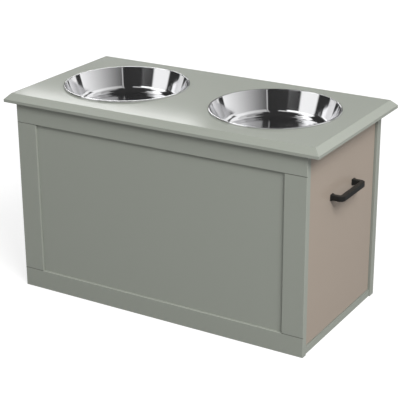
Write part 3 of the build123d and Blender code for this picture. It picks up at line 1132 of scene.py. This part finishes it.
@dataclass
class DowelSet(TurnedSet):
    """Fluted beech dowels with bevelled ends."""

    slot: ClassVar[Slot] = Slot.BEECH
    look: ClassVar[str] = "fluted"
    bevel: float = 0.0008
    flutes: int = 20
    flute_steps: int = 4
    flute_depth: float = 0.00012

    def lathe(self) -> Lathe:
        """Set up the lathe with its flutes."""
        return Lathe(self.title(), self.flutes * self.flute_steps, flutes=self.flutes)

    def section(self, size: Vector) -> list[Corner]:
        """Write the dowel's section from end to end.

        Args:
            size: the box round the dowel.

        Returns:
            The section's corners.
        """
        length, radius = max(size), min(size) / 2
        waist = radius - self.flute_depth
        return [
            Corner(0, 0),
            Corner(radius - self.bevel, 0),
            Corner(waist, self.bevel, flute=self.flute_depth),
            Corner(waist, length - self.bevel, flute=self.flute_depth),
            Corner(radius - self.bevel, length),
            Corner(0, length),
        ]


@dataclass
class BallSet(TurnedSet):
    """The polished balls of one runner."""

    slot: ClassVar[Slot] = Slot.BEARING
    look: ClassVar[str] = "polished"
    steps: int = 16  # from pole to pole

    def lathe(self) -> Lathe:
        """Set up the lathe with steps as wide round the ball as from pole to pole."""
        return Lathe(self.title(), 2 * self.steps)

    def section(self, size: Vector) -> list[Corner]:
        """Write the ball's section as a half circle round its own centre.

        Args:
            size: the box round the ball.

        Returns:
            The section's corners.
        """
        radius = max(size) / 2
        angles = [math.pi * step / self.steps for step in range(self.steps + 1)]
        section = [Corner(radius * math.sin(a), -radius * math.cos(a)) for a in angles]
        section[0], section[-1] = Corner(0, -radius), Corner(0, radius)
        return section

    def place(self, solid: Solid) -> Place:
        """Centre a ball on its solid."""
        return Place(solid.end(0.5), AXIS_UP)


# ------------------------------------------------------------------------------ the studio
@dataclass(frozen=True)
class Softbox:
    """A soft patch of light on the studio's sky, by azimuth and elevation in degrees.

    Azimuth 0 lies along +X and 90 along +Y. The patch fades from its first brightness at its
    lower azimuth to its second at its higher azimuth.
    """

    start: float
    stop: float
    low: float
    high: float
    first: float
    second: float
    side_fade: float = 5.0
    edge_fade: float = 4.0


@dataclass(frozen=True)
class Lamp:
    """A square soft lamp: its power in watts, its side and the way to it from the object."""

    name: str
    power: float
    size: float
    direction: tuple[float, float, float]


@dataclass
class Studio:
    """Pale floor, white surroundings and the softboxes that the polished steel mirrors."""

    softboxes: tuple[Softbox, ...] = (  # start, stop, low, high, first, second, side fade
        Softbox(-147, -111, 7, 26, 1.05, 1.05),
        Softbox(-154, -88, 26, 39, 1.7, 1.5),
        Softbox(-156, -124, 37, 52, 1.5, 1.1),
        Softbox(-124, -70, 37, 45, 1.2, 0.9),
        Softbox(134, 210, 50, 61, 1.4, 1.4),
        Softbox(178, 196, 59, 69, 1.3, 1.2),
        Softbox(150, 184, -4, 10, 0.8, 0.8),
        Softbox(-47, 45, 2, 26, 0.06, 1.05, 2),
        Softbox(-48, -45.5, 4, 60, 0.5, 0.5, 1),
        Softbox(-45, 34, 26, 52, 0.45, 1.1),
        Softbox(34, 100, 38, 51, 1.05, 0.95),
        Softbox(-28, 100, 50, 61, 0.35, 0.75),
        Softbox(-15, 95, 61, 70, 0.25, 0.45),
        Softbox(42, 72, 16, 31, 1.1, 0.85),
        Softbox(58, 92, 2, 18, 1.0, 0.9),
        Softbox(100, 144, 4, 26, 0.18, 0.18),
        Softbox(-90, -30, -3, 8, 1.8, 1.3),
    )
    ambient: float = 0.035
    sheen_start: float = 121.0  # azimuths of the strip that the top board mirrors
    sheen_stop: float = 129.6
    sheen_side_fade: float = 1.6
    sheen_slope: float = 0.3715  # height over depth of the strip's lower edge
    sheen_reach: float = 3.0  # slope of the strip's upper edge, over that of its lower edge
    sheen_fade: float = 0.004
    sheen_brightness: float = 4.4
    mirror_only: float = 1.1  # brightness above this shows in mirrors and lights nothing else
    lamps: tuple[Lamp, ...] = (
        Lamp("key_softbox", 178.0, 1.9, (0.6, -0.405, 0.69)),
        Lamp("back_softbox", 42.0, 2.6, (-0.5, 0.75, 0.45)),
    )
    lamp_distance: float = 4.5
    floor_roughness: float = 0.9
    floor_bounce: float = 0.25
    floor_colour: float = 0.35
    floor_glow: float = 0.75
    floor_reach: float = 8.0

    def window(self, sky: Graph, value: Socket, low: float, high: float, fade: float) -> Socket:
        """Rise to 1 inside a range and fall to 0 outside it.

        Args:
            sky: the world's node tree.
            value: what the range is measured on.
            low: the range's start.
            high: its end.
            fade: the width of each edge.

        Returns:
            The window's value.
        """
        half = fade / 2
        rise = sky.ramp(value, low - half, low + half, shape="SMOOTHSTEP")
        fall = sky.ramp(value, high + half, high - half, shape="SMOOTHSTEP")
        return sky.math("MULTIPLY", rise, fall)

    def patch(self, sky: Graph, azimuth: Socket, elevation: Socket, box: Softbox) -> Socket:
        """Write one softbox into the sky.

        Args:
            sky: the world's node tree.
            azimuth: the ray's azimuth in degrees.
            elevation: the ray's elevation in degrees.
            box: the softbox.

        Returns:
            The softbox's brightness along the ray.
        """
        middle = (box.start + box.stop) / 2
        turned = sky.math("ADD", sky.math("SUBTRACT", azimuth, middle), 1.5 * FULL_TURN)
        wrapped = sky.math("FLOORED_MODULO", turned, FULL_TURN)
        aside = sky.math("SUBTRACT", wrapped, FULL_TURN / 2)
        reach = (box.stop - box.start) / 2
        sides = self.window(sky, aside, -reach, reach, box.side_fade)
        levels = self.window(sky, elevation, box.low, box.high, box.edge_fade)
        brightness = sky.ramp(aside, -reach, reach, box.first, box.second)
        return sky.math("MULTIPLY", brightness, sky.math("MULTIPLY", sides, levels))

    def sheen(self, sky: Graph, azimuth: Socket, along: Mapping[str, Socket]) -> Socket:
        """Write the strip behind the object that the top board mirrors at a low angle.

        Args:
            sky: the world's node tree.
            azimuth: the ray's azimuth in degrees.
            along: the ray's X, Y and Z.

        Returns:
            The strip's brightness along the ray.
        """
        slope = sky.math("DIVIDE", along["Z"], along["Y"])
        low, high = self.sheen_slope, self.sheen_slope * self.sheen_reach
        above = self.window(sky, slope, low, high, self.sheen_fade)
        start, stop, fade = self.sheen_start, self.sheen_stop, self.sheen_side_fade
        sides = self.window(sky, azimuth, start, stop, fade)
        return sky.math("MULTIPLY", sky.math("MULTIPLY", above, sides), self.sheen_brightness)

    def build_sky(self) -> None:
        """Make the world: softboxes for the surfaces, plain white behind the object."""
        world = bpy.data.worlds.new("studio")
        world.use_nodes = True
        bpy.context.scene.world = world
        sky = Graph(world.node_tree)
        ray = sky.add("ShaderNodeTexCoord").outputs["Generated"]
        along = sky.add("ShaderNodeSeparateXYZ", {0: ray}).outputs
        azimuth = sky.math("DEGREES", sky.math("ARCTAN2", along["Y"], along["X"]))
        elevation = sky.math("DEGREES", sky.math("ARCSINE", along["Z"]))
        light = self.sheen(sky, azimuth, along)
        for box in self.softboxes:
            light = sky.math("MAXIMUM", light, self.patch(sky, azimuth, elevation, box))
        kind = sky.add("ShaderNodeLightPath").outputs
        soft = sky.math("MINIMUM", light, self.mirror_only)
        cast = sky.result("ShaderNodeMix", {0: kind["Is Glossy Ray"], 2: soft, 3: light})
        lit = sky.math("ADD", cast, self.ambient)
        strength = sky.result("ShaderNodeMix", {0: kind["Is Camera Ray"], 2: lit, 3: 1.0})
        background = world.node_tree.nodes["Background"]
        background.inputs["Color"].default_value = (1, 1, 1, 1)
        world.node_tree.links.new(strength, background.inputs["Strength"])

    def build_floor(self) -> None:
        """Lay the pale floor under the object."""
        level = CAD_BOX[0].z
        sides = ((-1, -1), (1, -1), (1, 1), (-1, 1))
        corners = [Vector((x * self.floor_reach, y * self.floor_reach, level)) for x, y in sides]
        floor = mesh_object("studio_floor", corners, faces=[(0, 1, 2, 3)])
        surface = Surface(
            "floor_paper",
            Roughness=self.floor_roughness,
            Specular_IOR_Level=0.0,
            Emission_Color=(1, 1, 1, 1),
        )
        seen = surface.add("ShaderNodeLightPath").outputs["Is Camera Ray"]
        bounce, colour = (self.floor_bounce,) * 3, (self.floor_colour,) * 3
        surface.wire(
            Base_Color=surface.between(seen, bounce, colour),
            Emission_Strength=surface.ramp(seen, 0.0, 1.0, 0.0, self.floor_glow),
        )
        floor.data.materials.append(surface.material)

    def hang(self, lamp: Lamp) -> None:
        """Hang one soft lamp that the steel doesn't mirror.

        Args:
            lamp: its power, size and direction.
        """
        data = bpy.data.lights.new(lamp.name, "AREA")
        data.shape = "SQUARE"
        data.size = lamp.size
        data.energy = lamp.power
        stand = bpy.data.objects.new(lamp.name, data)
        bpy.context.scene.collection.objects.link(stand)
        target = sum(CAD_BOX, Vector()) / 2
        direction = Vector(lamp.direction).normalized()
        aim = (-direction).to_track_quat("-Z", "Y").to_matrix().to_4x4()
        stand.matrix_world = Matrix.Translation(target + direction * self.lamp_distance) @ aim
        stand.visible_glossy = False
        stand.visible_camera = False

    def build(self) -> None:
        """Set up the whole studio."""
        self.build_sky()
        self.build_floor()
        for lamp in self.lamps:
            self.hang(lamp)
        bpy.context.scene.view_settings.view_transform = "Standard"
        LOG.info("studio: %d softboxes", len(self.softboxes))


@dataclass
class Viewpoint:
    """The camera at the photograph's viewing angle."""

    place: tuple[float, float, float] = (1.0596, -1.7577, 0.9701)
    azimuth: float = math.radians(31.05)
    elevation: float = math.radians(21.32)
    roll: float = math.radians(-0.35)
    focal_pixels: float = 1256.9
    frame_pixels: float = 400.0
    sensor: float = 36.0  # millimetres

    def build(self) -> None:
        """Set the camera up and make it the scene's own."""
        data = bpy.data.cameras.new("viewpoint")
        data.sensor_width = self.sensor
        data.lens = self.focal_pixels / self.frame_pixels * self.sensor
        camera = bpy.data.objects.new("viewpoint", data)
        bpy.context.scene.collection.objects.link(camera)
        level, drop = math.cos(self.elevation), -math.sin(self.elevation)
        side, depth = math.sin(self.azimuth), math.cos(self.azimuth)
        ahead = Vector((-side * level, depth * level, drop))
        right = Vector((depth, side, 0))
        axes = Matrix((right, right.cross(ahead), -ahead)).transposed().to_4x4()
        turn = Matrix.Rotation(self.roll, 4, "Z")
        camera.matrix_world = Matrix.Translation(self.place) @ axes @ turn
        bpy.context.scene.camera = camera
        LOG.info("viewpoint: %.1f mm lens", data.lens)


def main() -> None:
    """Build the studio and dress the feeder, piece by piece."""
    logging.basicConfig(level=logging.INFO, format="%(name)s: %(message)s")
    Studio().build()
    Viewpoint().build()
    wardrobe = Wardrobe()
    wardrobe.dress_nodes()
    SpunBowl("bowl_left", "left_bowl").build(wardrobe)
    SpunBowl("bowl_right", "right_bowl").build(wardrobe)
    BarHandle().build(wardrobe)
    ScrewSet(
        "handle_screws",
        "drawer",
        radius=0.002,
        head_radius=0.004,
        head_height=0.0024,
        pitch=0.0007,
        head=Head.DOMED,
    ).build(wardrobe)
    for body in ("box", "drawer"):
        ScrewSet(
            f"{body}_channel_screws",
            body,
            radius=0.0017,
            head_radius=0.0033,
            head_height=0.0019,
            pitch=0.0012,
            head=Head.COUNTERSUNK,
        ).build(wardrobe)
        CamBoltSet(f"{body}_cam_bolts", body).build(wardrobe)
        DowelSet(f"{body}_dowels", body).build(wardrobe)
    for side in ("front", "rear"):
        BallSet(f"{side}_runner_balls", f"{side}_ball_cage").build(wardrobe)


if __name__ == "__main__":
    main()
